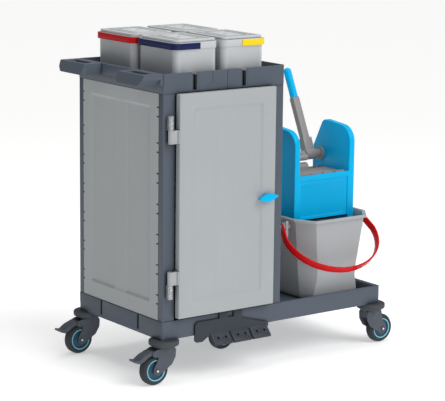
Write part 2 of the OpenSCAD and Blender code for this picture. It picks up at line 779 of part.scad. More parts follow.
// The bucket's outline at a level, as a fraction of its height, drawn in by a wall
module bucket_slab(level, wall, z) {
    half_x = bucket_x / 2 - lip_w - draft_x * (1 - level) - wall;
    half_y = bucket_y / 2 - lip_w - draft_y * (1 - level) - wall;
    cut_x = 52 - wall * 0.4;
    cut_y = 72 - wall * 0.4;
    translate([bucket_cx, bucket_cy, z]) linear_extrude(eps)
        polygon(bucket_outline(half_x, half_y, cut_x, cut_y));
}
function bucket_outline(hx, hy, cx, cy) = rounded([[-hx + cx, -hy], [hx - cx, -hy], [hx, -hy + cy],
    [hx, hy - cx], [hx - cx, hy], [-hx + cx, hy], [-hx, hy - cx], [-hx, -hy + cy]],
    [20, 20, 20, 20, 20, 20, 20, 20], 3);

module bucket() {
    lip_h = 10;
    color(TUB_GREY) in_frame() {
        difference() {
            hull() {
                bucket_slab(0, 0, bucket_z);
                bucket_slab(1, 0, bucket_top - eps);
            }
            hull() {
                bucket_slab(0, bucket_t, bucket_z + bucket_t);
                bucket_slab(1, bucket_t, bucket_top + eps);
            }
        }
        translate([bucket_cx, bucket_cy, bucket_top - lip_h]) linear_extrude(lip_h) difference() {
            polygon(bucket_outline(bucket_x / 2, bucket_y / 2, 55, 75));
            polygon(bucket_outline(bucket_x / 2 - lip_w - 1, bucket_y / 2 - lip_w - 1, 51.6, 71.6));
        }
        for (s = [-1, 1]) translate([bucket_cx, bail_y, bail_z]) {
            a = bucket_x / 2 - lip_w - 5;
            b = pivot_half + bail_t / 2 + 3;
            boss = pivot_half - bail_t / 2 - air_gap;
            x_rod(bail_pin_r, s > 0 ? a : -b, s > 0 ? b : -a);
            x_rod(13, s > 0 ? a : -boss, s > 0 ? boss : -a);
        }
    }
}

// Half a flattened hoop between the two pivots, drawn lying flat towards -Y
module bucket_bail() {
    n = 20;
    straight = 60;
    bow = bail_reach - straight;
    function hoop(a, off) = [(bail_half + off) * cos(a), -straight - (bow + off) * sin(a)];
    outer = concat([[-pivot_half - bail_t / 2, 0]], [for (k = [0:n]) hoop(180 - 180 * k / n, bail_t / 2)],
        [[pivot_half + bail_t / 2, 0]]);
    inner = concat([[pivot_half - bail_t / 2, 0]], [for (k = [n:-1:0]) hoop(180 - 180 * k / n, -bail_t / 2)],
        [[-pivot_half + bail_t / 2, 0]]);
    color("#c8262a") in_frame() translate([bucket_cx, bail_y, bail_z]) rotate([bail_angle, 0, 0])
        difference() {
            union() {
                translate([0, 0, -bail_w / 2]) linear_extrude(bail_w) polygon(concat(outer, inner));
                for (x = [-pivot_half, pivot_half]) x_rod(bail_w / 2, x - bail_t / 2, x + bail_t / 2);
            }
            x_rod(bail_pin_r + run_gap, -bail_half - 20, bail_half + 20);
        }
}

// An ear's outline in the YZ plane, drawn in by a margin
function ear_outline(m) = rounded([[wringer_y0 + m, wringer_z + m],
    [wringer_y0 + wringer_y - foot_in - m, wringer_z + m],
    [wringer_y0 + wringer_y - m, front_wall_z - 30], [wringer_y0 + wringer_y - m, front_wall_z + 60],
    [wringer_y0 + wringer_y - 55 - m, ear_top_z - m], [wringer_y0 + m, ear_top_z - 14 - m]],
    [6, 10, 40, 40, 26, 56], 8);

module wringer_body() {
    chamber_z = wringer_z + 14;
    rest_y = bucket_cy + 44;
    lug_l = 56;
    lug_h = 8;
    color(CYAN) in_frame() translate([wringer_cx, 0, 0]) difference() {
        union() {
            for (s = [-1, 1]) {
                mirror([s < 0 ? 1 : 0, 0, 0]) {
                    x_plate(ear_x, ear_x + wringer_t, ear_outline(0));
                    difference() {
                        x_plate(ear_x, ear_x + flange_w, ear_outline(0));
                        x_plate(ear_x - 1, ear_x + flange_w + 1, ear_outline(wringer_t));
                    }
                    translate([ear_x + wringer_t - 1, rest_y, bucket_top + air_gap])
                        cube([bucket_x / 2 - ear_x - wringer_t, lug_l, lug_h]);
                    translate([ear_x + wringer_t, shaft_y, shaft_z]) x_rod(18, 0, 6);
                }
            }
            translate([-ear_x - 1, wringer_y0, chamber_z])
                cube([2 * ear_x + 2, front_wall_t, front_wall_z - chamber_z]);
            translate([-ear_x - 1, wringer_y0 + wringer_y - foot_in - wringer_t, chamber_z])
                cube([2 * ear_x + 2, wringer_t, front_wall_z - 60 - chamber_z]);
            translate([-ear_x - 1, wringer_y0, chamber_z])
                cube([2 * ear_x + 2, wringer_y - foot_in, wringer_t]);
        }
        translate([-ear_x + 6, wringer_y0 - 1, chamber_z + wringer_t + 6])
            cube([2 * ear_x - 12, 5, front_wall_z - chamber_z - wringer_t - 24]);
        for (i = [-4:4], j = [0:3]) translate([i * 22 - 5, wringer_y0 + 22 + j * 36, chamber_z - 1])
            cube([10, 24, wringer_t + 2]);
        translate([0, shaft_y, shaft_z]) x_rod(journal_r + run_gap, -wringer_x, wringer_x);
    }
}

module wringer_lever() {
    socket_w = 38;
    arm_w = 27;
    arm_t = 22;
    reach = ear_x + wringer_t + 6;
    color("#8f8b8b") in_frame() translate([0, shaft_y, shaft_z]) {
        translate([wringer_cx, 0, 0]) {
            x_rod(journal_r, -reach, reach);
            x_rod(shaft_r, -ear_x + air_gap, ear_x - air_gap);
            x_rod(24, ear_x - 8, ear_x - air_gap);
        }
        translate([crank_x, 0, 0]) {
            for (x = [-crank_w / 2, crank_w / 2 - 8]) translate([x, -crank_r, -9]) cube([8, crank_r, 18]);
            translate([0, -crank_r, 0]) x_rod(roller_r, -crank_w / 2, crank_w / 2);
        }
        translate([lever_x, 0, 0]) {
            x_rod(20, -22, 22);
            rotate([-lever_angle, 0, 0]) {
                translate([-socket_w / 2, -15, 0]) cube([socket_w, 30, 58]);
                translate([-arm_w / 2, -arm_t / 2, 0]) cube([arm_w, arm_t, lever_l - grip_l]);
                cylinder(r = grip_core_r, h = lever_l - 6);
            }
        }
    }
}

module lever_grip() {
    color(CYAN) in_frame() translate([lever_x, shaft_y, shaft_z]) rotate([-lever_angle, 0, 0])
        translate([0, 0, lever_l - grip_l + 0.05]) difference() {
            union() {
                cylinder(r = grip_r, h = grip_l - grip_r);
                translate([0, 0, grip_l - grip_r]) sphere(r = grip_r);
            }
            translate([0, 0, -1]) cylinder(r = grip_core_r + hole_gap, h = grip_l - 4);
        }
}

module press_plate() {
    side = air_gap;
    end_gap = 3;
    plate_z = front_wall_z - 14;
    plate_t = 10;
    y0 = wringer_y0 + front_wall_t + end_gap;
    l = wringer_y - foot_in - wringer_t - front_wall_t - 2 * end_gap;
    pad_y = shaft_y - crank_r;
    pad_w = 34;
    color("#8f8b8b") in_frame() translate([wringer_cx - ear_x + side, y0, 0]) difference() {
        union() {
            translate([0, 0, plate_z]) cube([2 * (ear_x - side), l, plate_t]);
            translate([crank_x - crank_w / 2 - (wringer_cx - ear_x + side), pad_y - y0 - pad_w / 2, plate_z])
                cube([crank_w, pad_w, press_top - plate_z - pad_w / 2]);
            translate([crank_x - (wringer_cx - ear_x + side), pad_y - y0, press_top - pad_w / 2])
                x_rod(pad_w / 2, -crank_w / 2, crank_w / 2);
            for (i = [0:3]) translate([6 + i * 54, 0, plate_z + plate_t - 1]) cube([40, 6, 9]);
        }
        for (i = [0:8], j = [0, 3]) translate([10 + i * 23, 14 + j * 36, plate_z - 1])
            cube([10, 22, plate_t + 2]);
    }
}

base_deck();
post(0, 0);  // post_front_left
post(1, 0);  // post_front_right
post(0, 1);  // post_rear_left
post(1, 1);  // post_rear_right
top_tray();
push_handles();
pole_clips();
side_panel_left();
side_panel_right();
back_panel();
cabinet_shelf();
mop_rest();
hinge_brackets();
caster_stems();
corner_bumpers();
frame_screws();
door_panel();
door_hinge_plates();
latch_lever();
fork(0, true);  // fork_front_left
fork(1, true);  // fork_rear_left
fork(2, false);  // fork_front_right
fork(3, false);  // fork_rear_right
fork(4, false);  // fork_centre
axle(0);  // axle_front_left
axle(1);  // axle_rear_left
axle(2);  // axle_front_right
axle(3);  // axle_rear_right
axle(4);  // axle_centre
hub(0);  // hub_front_left
hub(1);  // hub_rear_left
hub(2);  // hub_front_right
hub(3);  // hub_rear_right
hub(4);  // hub_centre
tyre(0);  // tyre_front_left
tyre(1);  // tyre_rear_left
tyre(2);  // tyre_front_right
tyre(3);  // tyre_rear_right
tyre(4);  // tyre_centre
brake_pedal(0);  // brake_pedal_front
brake_pedal(1);  // brake_pedal_rear
tub(0);  // tub_front_left
tub(1);  // tub_front_right
tub(2);  // tub_rear_left
tub(3);  // tub_rear_right
lid(0);  // lid_front_left
lid(1);  // lid_front_right
lid(2);  // lid_rear_left
lid(3);  // lid_rear_right
tub_bail(0);  // tub_bail_front_left
tub_bail(1);  // tub_bail_front_right
tub_bail(2);  // tub_bail_rear_left
tub_bail(3);  // tub_bail_rear_right
bucket();
bucket_bail();
wringer_body();
wringer_lever();
lever_grip();
press_plate();
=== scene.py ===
import json
import math

import bmesh
import bpy
from mathutils import Matrix, Vector


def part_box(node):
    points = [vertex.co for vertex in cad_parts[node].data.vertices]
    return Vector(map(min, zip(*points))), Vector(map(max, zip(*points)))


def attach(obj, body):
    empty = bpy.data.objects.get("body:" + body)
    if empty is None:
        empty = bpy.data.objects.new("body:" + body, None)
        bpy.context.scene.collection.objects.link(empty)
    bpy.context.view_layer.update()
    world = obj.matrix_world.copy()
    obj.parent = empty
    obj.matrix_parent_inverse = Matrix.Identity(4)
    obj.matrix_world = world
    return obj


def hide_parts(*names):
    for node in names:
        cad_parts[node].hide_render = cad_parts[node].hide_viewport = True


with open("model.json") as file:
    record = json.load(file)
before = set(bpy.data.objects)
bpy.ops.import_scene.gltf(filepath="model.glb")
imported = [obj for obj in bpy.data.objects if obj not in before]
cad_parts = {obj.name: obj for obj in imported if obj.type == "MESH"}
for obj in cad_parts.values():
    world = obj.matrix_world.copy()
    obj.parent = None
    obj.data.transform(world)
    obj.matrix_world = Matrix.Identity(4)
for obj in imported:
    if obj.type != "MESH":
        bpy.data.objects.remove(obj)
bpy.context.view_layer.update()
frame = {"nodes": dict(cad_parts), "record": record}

# --- Studio ---------------------------------------------------------------------------------
# A pale seamless paper floor in the light of a wide window, with soft boxes above and in front. The
# camera stands at the cart's front left, a little above its tray, behind a long lens.
base_low, base_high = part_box("base_deck")
camera = bpy.data.objects.new("camera", bpy.data.cameras.new("camera"))
bpy.context.scene.collection.objects.link(camera)
bpy.context.scene.camera = camera
camera.data.lens = 152.07
camera.data.clip_end = 60
camera_turn, camera_tilt, camera_roll = (math.radians(a) for a in (36.27, 11.069, 0.645))
camera.matrix_world = (
    Matrix.Translation(Vector((base_low.x, base_low.y, 0)) + Vector((-3.3145, -4.8381, 1.7587)))
    @ Matrix.Rotation(-camera_turn, 4, "Z")
    @ Matrix.Rotation(math.pi / 2 - camera_tilt, 4, "X")
    @ Matrix.Rotation(camera_roll, 4, "Z")
)


def soft_box(name, place, target, size, watts):
    """A large rectangular lamp that points at a place."""
    lamp = bpy.data.lights.new(name, "AREA")
    lamp.shape = "RECTANGLE"
    lamp.size, lamp.size_y = size
    lamp.energy = watts
    box = bpy.data.objects.new(name, lamp)
    box.location = place
    box.rotation_euler = (Vector(target) - Vector(place)).to_track_quat("-Z", "Y").to_euler()
    bpy.context.scene.collection.objects.link(box)


soft_box("fill_box", (-1.3, -5.0, 1.3), (0, 0, 0.5), (2.0, 1.6), 42)
soft_box("top_box", (-0.1, 0.2, 3.4), (0, 0, 0.6), (2.4, 2.0), 40)
sun = bpy.data.lights.new("window", "SUN")
sun.energy = 1.56
sun.angle = math.radians(40)
window = bpy.data.objects.new("window", sun)
window.rotation_euler = Vector((-0.12, 0.30, -0.32)).to_track_quat("-Z", "Y").to_euler()
bpy.context.scene.collection.objects.link(window)


def add(tree, kind, links=None, **settings):
    """Adds a node, sets its properties and inputs, and links the sockets that are named."""
    made = tree.nodes.new(kind)
    for key, value in settings.items():
        if hasattr(made, key):
            setattr(made, key, value)
        else:
            made.inputs[key.replace("_", " ")].default_value = value
    for socket, source in (links or {}).items():
        tree.links.new(source, made.inputs[socket])
    return made


def linear(code):
    """An sRGB hex colour as linear red, green, blue and alpha."""
    parts = [int(code[i : i + 2], 16) / 255 for i in (1, 3, 5)]
    return [p / 12.92 if p <= 0.04045 else ((p + 0.055) / 1.055) ** 2.4 for p in parts] + [1]


def new_material(name):
    material = bpy.data.materials.new(name)
    material.use_nodes = True
    material.node_tree.nodes.clear()
    return material, material.node_tree


# Matt white paper, with light coming through it from below, so that shadows stay pale.
studio_paper, tree = new_material("matt_studio_paper")
surface = add(tree, "ShaderNodeBsdfPrincipled", Base_Color=linear("#f2f2f1"), Roughness=0.95)
surface.inputs["Emission Color"].default_value = linear("#ffffff")
surface.inputs["Emission Strength"].default_value = 0.385
add(tree, "ShaderNodeOutputMaterial", {"Surface": surface.outputs[0]})
bpy.ops.mesh.primitive_plane_add(size=60)
floor = bpy.context.object
floor.name = "floor"
floor.data.materials.append(studio_paper)

bpy.context.scene.world = bpy.data.worlds.new("studio")
bpy.context.scene.world.use_nodes = True
backdrop = bpy.context.scene.world.node_tree.nodes["Background"]
backdrop.inputs["Color"].default_value = linear("#ffffff")
backdrop.inputs["Strength"].default_value = 0.29
bpy.context.scene.view_settings.view_transform = "Standard"

# --- Base and posts -------------------------------------------------------------------------
# The base is one large injection moulding of grey polypropylene, with a skirt and a sunk deck.
# Four hollow posts of the same plastic stand on it, each held by a screw from below.
MM = 0.001
body_of = {}
for body, members in frame["record"]["behaviour"]["bodies"].items():
    for member in members:
        body_of[member] = body


def at(x, y, z):
    """A place in millimetres from the base's front left corner and up from the floor."""
    return Vector((base_low.x + x * MM, base_low.y + y * MM, z * MM))


def moulded(name, colour, roughness, grain_mm=1.8, depth=0.10, shade=0.05, scuff=0.0,
             gloss=0.26, painted_shade_mm=0.0):
    """Moulded polypropylene: an even colour with a faint cloud from the melt's flow, the fine
    matt grain of a spark-eroded mould, edges that scuff has rubbed paler, and painted shade that
    darkens corners narrower than its size in millimetres."""
    material, tree = new_material(name)
    place = add(tree, "ShaderNodeTexCoord").outputs["Object"]
    cloud = add(tree, "ShaderNodeTexNoise", {"Vector": place}, Scale=6.0, Detail=4.0)
    grain = add(tree, "ShaderNodeTexNoise", {"Vector": place}, Scale=1 / (grain_mm * MM), Detail=2.0)
    flow = add(tree, "ShaderNodeMath", {0: cloud.outputs["Fac"], 1: grain.outputs["Fac"]}, operation="ADD")
    amount = add(tree, "ShaderNodeMapRange", {"Value": flow.outputs[0]})
    amount.inputs["From Min"].default_value = 0.6
    amount.inputs["From Max"].default_value = 1.4
    base = linear(colour)
    mixed = add(tree, "ShaderNodeMix", {"Factor": amount.outputs[0]}, data_type="RGBA")
    mixed.inputs["A"].default_value = [c * (1 - shade) for c in base[:3]] + [1]
    mixed.inputs["B"].default_value = [min(c * (1 + shade), 1) for c in base[:3]] + [1]
    colour_out = mixed.outputs["Result"]
    if scuff:
        round_normal = add(tree, "ShaderNodeBevel", samples=4, Radius=2.2 * MM)
        true_normal = add(tree, "ShaderNodeNewGeometry").outputs["Normal"]
        bend = add(tree, "ShaderNodeVectorMath", {0: round_normal.outputs[0], 1: true_normal},
                   operation="DOT_PRODUCT")
        edge = add(tree, "ShaderNodeMapRange", {"Value": bend.outputs["Value"]})
        edge.inputs["From Min"].default_value = 0.99
        edge.inputs["From Max"].default_value = 0.85
        patch = add(tree, "ShaderNodeTexNoise", {"Vector": place}, Scale=45.0, Detail=3.0)
        worn = add(tree, "ShaderNodeMath", {0: edge.outputs[0], 1: patch.outputs["Fac"]},
                   operation="MULTIPLY")
        part = add(tree, "ShaderNodeMath", {0: worn.outputs[0]}, operation="MULTIPLY")
        part.inputs[1].default_value = scuff
        rubbed = add(tree, "ShaderNodeMix", {"Factor": part.outputs[0], "A": colour_out}, data_type="RGBA")
        rubbed.inputs["B"].default_value = [min(c * 2.2 + 0.03, 1) for c in base[:3]] + [1]
        colour_out = rubbed.outputs["Result"]
    # Painted shade: the colour is darkened towards a fifth of itself where ambient occlusion finds a crevice
    # narrower than the given size.
    if painted_shade_mm:
        crevice = add(tree, "ShaderNodeAmbientOcclusion", samples=6, Distance=painted_shade_mm * MM)
        unshaded = add(tree, "ShaderNodeMapRange", {"Value": crevice.outputs["AO"]})
        unshaded.inputs["From Min"].default_value = 0.3
        unshaded.inputs["From Max"].default_value = 0.92
        shaded_colour = add(tree, "ShaderNodeMix", {"Factor": unshaded.outputs[0], "B": colour_out}, data_type="RGBA")
        shaded_colour.inputs["A"].default_value = [c * 0.22 for c in base[:3]] + [1]
        colour_out = shaded_colour.outputs["Result"]
    rough = add(tree, "ShaderNodeMapRange", {"Value": cloud.outputs["Fac"]})
    rough.inputs["To Min"].default_value = roughness - 0.07
    rough.inputs["To Max"].default_value = roughness + 0.07
    bump = add(tree, "ShaderNodeBump", {"Height": grain.outputs["Fac"]}, Strength=depth, Distance=0.5 * MM)
    surface = add(tree, "ShaderNodeBsdfPrincipled",
                  {"Base Color": colour_out, "Roughness": rough.outputs[0], "Normal": bump.outputs[0]},
                  IOR=1.49, Specular_IOR_Level=gloss)
    add(tree, "ShaderNodeOutputMaterial", {"Surface": surface.outputs[0]})
    return material


def placed(piece, node, material, sharp_deg=38):
    """Gives a piece a material in its one slot, and the body that its node belongs to."""
    piece.data.materials.clear()
    piece.data.materials.append(material)
    for face in piece.data.polygons:
        face.use_smooth = True
        face.material_index = 0
    piece.data.set_sharp_from_angle(angle=math.radians(sharp_deg))
    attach(piece, body_of[node])
    return piece


def solid(name, points, faces):
    """A closed mesh from its points and faces, its doubles merged and its faces outward."""
    mesh = bpy.data.meshes.new(name)
    mesh.from_pydata([tuple(p) for p in points], [], faces)
    shell = bmesh.new()
    shell.from_mesh(mesh)
    bmesh.ops.remove_doubles(shell, verts=shell.verts, dist=2e-6)
    bmesh.ops.recalc_face_normals(shell, faces=shell.faces)
    shell.to_mesh(mesh)
    shell.free()
    piece = bpy.data.objects.new(name, mesh)
    bpy.context.scene.collection.objects.link(piece)
    return piece


def block(x, y, z, draft=(0, 0, 0, 0)):
    """Eight corners of a block in millimetres. Its far side, at the second y, is drawn in by
    draft on the left, the right, below and above."""
    near = [(x[0], y[0], z[0]), (x[1], y[0], z[0]), (x[1], y[0], z[1]), (x[0], y[0], z[1])]
    left, right, low, high = draft
    far = [(x[0] + left, y[1], z[0] + low), (x[1] - right, y[1], z[0] + low),
           (x[1] - right, y[1], z[1] - high), (x[0] + left, y[1], z[1] - high)]
    return [at(*corner) for corner in near + far]


def blocks(name, corners):
    """One mesh of separate blocks."""
    sides = [(0, 1, 2, 3), (4, 7, 6, 5), (0, 4, 5, 1), (1, 5, 6, 2), (2, 6, 7, 3), (3, 7, 4, 0)]
    points = [p for eight in corners for p in eight]
    faces = [tuple(8 * i + k for k in side) for i in range(len(corners)) for side in sides]
    return solid(name, points, faces)


def eased(node, edge_mm, material, segments=2, angle_deg=34, cuts=(), adds=(), sharp_deg=38,
          clamp=True):
    """The CAD shape with blocks cut from it or moulded on, and the small radius that a moulding
    has along its edges."""
    shell = bmesh.new()
    shell.from_mesh(frame["nodes"][node].data)
    bmesh.ops.remove_doubles(shell, verts=shell.verts, dist=1e-5)
    bmesh.ops.dissolve_limit(shell, angle_limit=math.radians(0.8), verts=shell.verts, edges=shell.edges)
    rough = bpy.data.objects.new(node + "_rough", bpy.data.meshes.new(node + "_rough"))
    shell.to_mesh(rough.data)
    shell.free()
    bpy.context.scene.collection.objects.link(rough)
    tools = []
    for operation, tool in [("DIFFERENCE", t) for t in cuts] + [("UNION", t) for t in adds]:
        shape = rough.modifiers.new(operation, "BOOLEAN")
        shape.operation = operation
        shape.object = tool
        shape.solver = "EXACT"
        tools.append(tool)
    bevel = rough.modifiers.new("eased edges", "BEVEL")
    bevel.width = edge_mm * MM
    bevel.segments = segments
    bevel.limit_method = "ANGLE"
    bevel.angle_limit = math.radians(angle_deg)
    bevel.use_clamp_overlap = clamp
    level = rough.modifiers.new("even faces", "WEIGHTED_NORMAL")
    level.keep_sharp = True
    made = bpy.data.meshes.new_from_object(rough.evaluated_get(bpy.context.evaluated_depsgraph_get()))
    for used in [rough] + tools:
        bpy.data.objects.remove(used)
    piece = bpy.data.objects.new(node + "_moulded", made)
    bpy.context.scene.collection.objects.link(piece)
    placed(piece, node, material, sharp_deg)
    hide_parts(node)
    return piece


# Slate grey and matt, rubbed paler on its edges, with painted shade in its grooves.
frame_grey = moulded("grey_polypropylene_frame", "#505863", 0.46, scuff=0.5, gloss=0.22, painted_shade_mm=14)
base_width = (base_high.y - base_low.y) / MM
# Two grooves run up the left end: shallow in the skirt, deep through the rim of the deck.
grooves = []
for part in (0.28, 0.72):
    for deep, foot_of in ((5.6, 160), (15, 181)):
        across = (part * base_width - 6, part * base_width + 6)
        grooves.append(blocks("end_groove_%d" % len(grooves), [block((-4, deep), across, (foot_of, 212))]))
eased("base_deck", 1.6, frame_grey, cuts=grooves)
for corner in ("front_left", "front_right", "rear_left", "rear_right"):
    eased("post_" + corner, 1.4, frame_grey)

# --- Cabinet panels -------------------------------------------------------------------------
# The side and back panels and the shelf are moulded in light grey polypropylene. Each panel has
# a sunk field with soft edges and a broad raised strip up its middle, and hooks into the posts.
# Pale grey with a finer matt grain than the frame, and a little painted shade where it is sunk.
panel_grey = moulded("light_grey_polypropylene_panel", "#a1a5a7", 0.6, depth=0.14, shade=0.04, painted_shade_mm=6)


def grid_lines(length, marks, fine=3.0, reach=18.0, coarse=45.0):
    """Places of grid lines in millimetres: close together near the marks, wide on the flat."""
    lines = [0.0, float(length)]
    for mark in marks:
        steps = int(reach / fine)
        lines += [mark + k * fine for k in range(-steps, steps + 1)]
    lines += [coarse * k for k in range(1, int(length / coarse) + 1)]
    kept = []
    for line in sorted(line for line in lines if 0 <= line <= length):
        if not kept or line - kept[-1] > 1.2:
            kept.append(line)
    kept[-1] = float(length)
    return kept


def inside(x, z, x_span, z_span, radius):
    """How far a point lies inside a rounded rectangle, in millimetres."""
    qx = abs(x - sum(x_span) / 2) - (x_span[1] - x_span[0]) / 2 + radius
    qz = abs(z - sum(z_span) / 2) - (z_span[1] - z_span[0]) / 2 + radius
    return radius - math.hypot(max(qx, 0), max(qz, 0)) - min(max(qx, qz), 0)


def soft_step(value, span):
    t = min(max(value / span, 0), 1)
    return t * t * (3 - 2 * t)


def pressed_sheet(name, corner, across, out, xs, zs, relief, skin, depth=None):
    """A sheet whose outer face rises by relief(x, z), with a flat back, or walls to a depth."""
    columns, rows = len(xs), len(zs)
    walls = depth is not None
    fit = [skin / xs[-1], skin / zs[-1]] if walls else [0, 0]
    across, out, up = Vector(across), Vector(out), Vector((0, 0, 1))

    def spot(x, z, back):
        return corner + (across * x + up * z - out * back) * MM

    def drawn_in(x, z):
        return skin * (fit[0] > 0) + x * (1 - 2 * fit[0]), skin * (fit[1] > 0) + z * (1 - 2 * fit[1])

    points = [spot(x, z, -relief(x, z)) for z in zs for x in xs]
    points += [spot(*drawn_in(x, z), skin) for z in zs for x in xs]
    layer = columns * rows
    faces = []
    for start in (0, layer):
        for j in range(rows - 1):
            for i in range(columns - 1):
                a = start + j * columns + i
                faces.append((a, a + 1, a + columns + 1, a + columns))
    edge = [(i, 0) for i in range(columns)] + [(columns - 1, j) for j in range(1, rows)]
    edge += [(i, rows - 1) for i in range(columns - 2, -1, -1)] + [(0, j) for j in range(rows - 2, 0, -1)]
    loops = [[j * columns + i for i, j in edge]]
    if walls:
        for drawn in (False, True):
            loops.append(list(range(len(points), len(points) + len(edge))))
            for i, j in edge:
                x, z = drawn_in(xs[i], zs[j]) if drawn else (xs[i], zs[j])
                points.append(spot(x, z, depth))
    loops.append([layer + j * columns + i for i, j in edge])
    for one, other in zip(loops, loops[1:]):
        for k in range(len(edge)):
            n = (k + 1) % len(edge)
            faces.append((one[k], one[n], other[n], other[k]))
    return solid(name, points, faces)


def rounded_rim(piece, edge_mm):
    """The small radius round the rim of a sheet, without touching its pressed field."""
    bevel = piece.modifiers.new("rim", "BEVEL")
    bevel.width = edge_mm * MM
    bevel.segments = 3
    bevel.limit_method = "ANGLE"
    bevel.angle_limit = math.radians(60)
    made = bpy.data.meshes.new_from_object(piece.evaluated_get(bpy.context.evaluated_depsgraph_get()))
    piece.modifiers.clear()
    piece.data = made
    return piece


def side_relief(width, height, rear_right):
    """Field and middle ridge of a side panel that is drawn from its rear edge if rear_right is
    false, and from its front edge if it is true."""

    def relief(x, z):
        x = width - x if rear_right else x
        sunk = soft_step(inside(x, z, (37, width - 48), (52, height - 43), 8), 8) * soft_step(x - 37, 20)
        strip = soft_step(x - 178, 18) * soft_step(264 - x, 9)
        return -6.2 * sunk + 3.8 * strip * sunk

    return relief


for side, node in enumerate(("side_panel_left", "side_panel_right")):
    low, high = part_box(node)
    width, height = (high.y - low.y) / MM, (high.z - low.z) / MM
    marks = [37, 47, 57, width - 56, width - 48, 178, 187, 196, 255, 264]
    if side:
        corner, across, out = Vector((high.x, low.y, low.z)), (0, 1, 0), (1, 0, 0)
        marks = [width - m for m in marks]
    else:
        corner, across, out = Vector((low.x, high.y, low.z)), (0, -1, 0), (-1, 0, 0)
    sheet = pressed_sheet(node + "_sheet", corner, across, out, grid_lines(width, marks),
                          grid_lines(height, [56, height - 47]), side_relief(width, height, bool(side)), 8)
    # Pairs of lugs hook into the posts, and show as short dark notches along the upright edges.
    notch = []
    for y0, long in (((low.y - base_low.y) / MM - 1, 12), ((high.y - base_low.y) / MM - 6, 7)):
        for k in range(7):
            for dz in (0, 30):
                z0 = low.z / MM + 54 + k * 0.1345 * height + 15 * (k > 5) + dz
                x0 = (low.x - base_low.x) / MM
                notch.append(block((x0 - 6, x0 + 10), (y0, y0 + long), (z0 - 2.4, z0 + 2.4)))
    cutter = blocks("notches", notch)
    cut = sheet.modifiers.new("notches", "BOOLEAN")
    cut.operation, cut.object, cut.solver = "DIFFERENCE", cutter, "EXACT"
    made = bpy.data.meshes.new_from_object(sheet.evaluated_get(bpy.context.evaluated_depsgraph_get()))
    sheet.modifiers.clear()
    sheet.data = made
    bpy.data.objects.remove(cutter)
    placed(sheet, node, panel_grey, 50)
    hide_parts(node)

low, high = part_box("back_panel")
width, height = (high.x - low.x) / MM, (high.z - low.z) / MM


def back_relief(x, z):
    sunk = soft_step(inside(x, z, (40, width - 40), (50, height - 50), 10), 12)
    ridge = soft_step(inside(x, z, (width / 2 - 13, width / 2 + 13), (50, height - 50), 4), 9)
    return -2.6 * sunk + 2.0 * ridge * sunk


marks = [46, width - 46, width / 2 - 9, width / 2 + 9]
sheet = pressed_sheet("back_panel_sheet", Vector((high.x, high.y, low.z)), (-1, 0, 0), (0, 1, 0),
                      grid_lines(width, marks), grid_lines(height, [56, height - 56]), back_relief, 4)
placed(sheet, "back_panel", panel_grey, 50)
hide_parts("back_panel")
side_low, side_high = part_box("side_panel_left")[0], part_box("side_panel_right")[1]
# The shelf stops short of the side panels' pressed fields.
left_x, right_x = ((x - base_low.x) / MM for x in (side_low.x, side_high.x))
shelf_spans = ((left_x, left_x + 8.4), (right_x - 8.4, right_x))
shelf_ends = [block(span, (-2, 520), (500, 620)) for span in shelf_spans]
eased("cabinet_shelf", 1.2, panel_grey, cuts=[blocks("shelf_ends", shelf_ends)])

# --- Door -----------------------------------------------------------------------------------
# The door is a deep tray moulded in the panels' plastic, open at the back. Its front has a sunk
# field with soft corners, and a broad raised strip up the middle of it.
low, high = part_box("door_panel")
width, height = (high.x - low.x) / MM, (high.z - low.z) / MM


def door_relief(x, z):
    sunk = soft_step(inside(x, z, (50, width - 49), (48, height - 46), 14), 11)
    strip = soft_step(inside(x, z, (141, 235), (66, height - 64), 10), 12)
    return -5.0 * sunk + 1.5 * strip * sunk


sheet = pressed_sheet("door_panel_sheet", Vector((low.x, low.y, low.z)), (1, 0, 0), (0, -1, 0),
                      grid_lines(width, [58, width - 57, 148, 228]),
                      grid_lines(height, [56, height - 54, 74, height - 72]), door_relief, 6.4,
                      (high.y - low.y) / MM)
rounded_rim(sheet, 2.4)
placed(sheet, "door_panel", panel_grey, 50)
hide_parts("door_panel")

# --- Hinges ---------------------------------------------------------------------------------
# Two zinc castings on the post hold the hinge pins, tumbled smooth: a satin grey metal that
# glints on its curves. The plates that turn about them are fixed to the door, in its own grey.
zinc, tree = new_material("satin_zinc_casting")
place = add(tree, "ShaderNodeTexCoord").outputs["Object"]
tumble = add(tree, "ShaderNodeTexNoise", {"Vector": place}, Scale=420.0, Detail=3.0)
rough = add(tree, "ShaderNodeMapRange", {"Value": tumble.outputs["Fac"]})
rough.inputs["To Min"].default_value = 0.34
rough.inputs["To Max"].default_value = 0.58
pits = add(tree, "ShaderNodeMapRange", {"Value": tumble.outputs["Fac"]})
pits.inputs["From Min"].default_value = 0.42
pits.inputs["From Max"].default_value = 0.6
tone = add(tree, "ShaderNodeMix", {"Factor": pits.outputs[0]}, data_type="RGBA")
tone.inputs["A"].default_value = linear("#6f7376")
tone.inputs["B"].default_value = linear("#c9ccce")
bump = add(tree, "ShaderNodeBump", {"Height": tumble.outputs["Fac"]}, Strength=0.5, Distance=0.6 * MM)
finish = {"Base Color": tone.outputs["Result"], "Roughness": rough.outputs[0], "Normal": bump.outputs[0]}
surface = add(tree, "ShaderNodeBsdfPrincipled", finish, Metallic=0.55)
add(tree, "ShaderNodeOutputMaterial", {"Surface": surface.outputs[0]})
eased("hinge_brackets", 1.2, zinc, segments=3)
eased("door_hinge_plates", 1.2, panel_grey, segments=3)

# --- Top tray, pole clips and push handles --------------------------------------------------
# The tray is moulded like the base, with the handles' rail bolted to its left end. Two spring
# clips for poles snap into gaps in its front wall, beside a raised pad and a fine witness line.
tray_low, tray_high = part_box("top_tray")
seam_z = (tray_low.z / MM - 2, tray_high.z / MM + 2)
seam_x = 250.6
seam = block((seam_x - 0.8, seam_x + 0.8), (-2, 1.6), seam_z)
